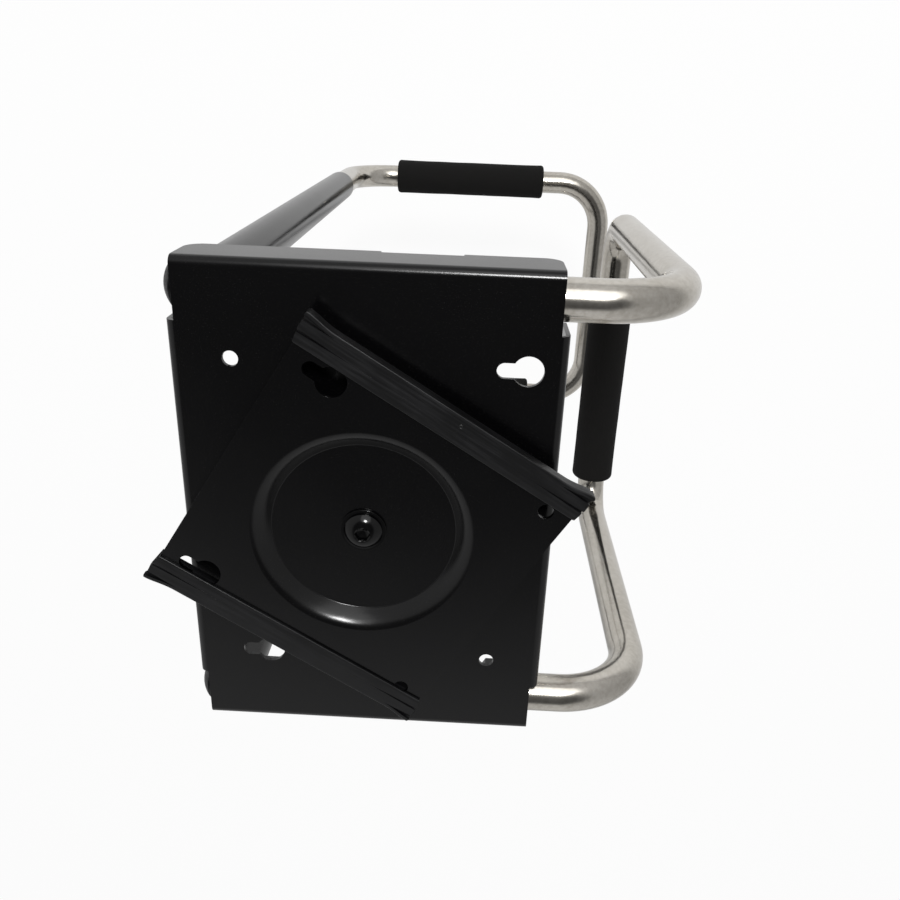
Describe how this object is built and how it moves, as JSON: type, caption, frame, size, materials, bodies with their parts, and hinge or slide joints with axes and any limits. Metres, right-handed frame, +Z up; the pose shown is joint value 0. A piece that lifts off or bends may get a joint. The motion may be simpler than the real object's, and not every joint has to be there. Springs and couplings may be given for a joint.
{
  "type": "under-desk computer holder",
  "caption": "Under-desk computer holder: a swivel plate with glides, a pressed tray, a telescoping side loop and a height-adjustable cradle with foam grips.",
  "frame": {"origin": "swivel axis, at the top face of the swivel plate (the desk is above it)", "axes": "+Z up towards the desk along the swivel axis; +X towards the side loop, along the arms; +Y towards the rear of the tray"},
  "size_m": [0.2701, 0.2377, 0.5055],
  "materials": {
    "black_powder_coat": "satin black powder coat on steel",
    "satin_chrome": "satin chrome-plated steel tube",
    "black_plastic": "moulded black plastic, lightly scuffed",
    "black_steel": "glossy blackened steel",
    "zinc_steel": "zinc-plated steel",
    "white_nylon": "natural nylon",
    "black_foam": "matt closed-cell foam"
  },
  "bodies": {
    "desk_plate": {"swivel_plate": "black_powder_coat", "rear_glide": "black_plastic", "front_glide": "black_plastic"},
    "frame": {"tray": "black_powder_coat", "weld_beads": "black_powder_coat", "rear_arm": "black_powder_coat", "front_arm": "black_powder_coat", "rear_leg": "black_powder_coat", "front_leg": "black_powder_coat", "leg_welds": "black_powder_coat", "arm_end_caps": "black_plastic", "arm_weld_nuts": "black_powder_coat", "arm_set_screws": "black_steel", "leg_weld_nuts": "black_powder_coat", "leg_set_screws": "black_steel", "swivel_bolt": "black_steel", "head_washer": "black_steel", "turntable_disc": "white_nylon", "nylon_washer": "white_nylon", "steel_washer": "zinc_steel", "lock_nut": "zinc_steel"},
    "loop": {"side_loop": "satin_chrome", "loop_end_plugs": "black_plastic", "loop_grip": "black_foam"},
    "cradle": {"cradle": "satin_chrome", "cradle_end_plugs": "black_plastic", "rear_cradle_grip": "black_foam", "front_cradle_grip": "black_foam"}
  },
  "joints": [
    {"name": "swivel", "type": "hinge", "parent": "desk_plate", "child": "frame", "pos_m": [0, 0, 0], "axis": [0, 0, 1], "continuous": true},
    {"name": "width_slide", "type": "slide", "parent": "frame", "child": "loop", "axis": [1, 0, 0], "range_m": [-0.01, 0.055]},
    {"name": "height_slide", "type": "slide", "parent": "frame", "child": "cradle", "axis": [0, 0, 1], "range_m": [-0.14, 0.05]}
  ]
}
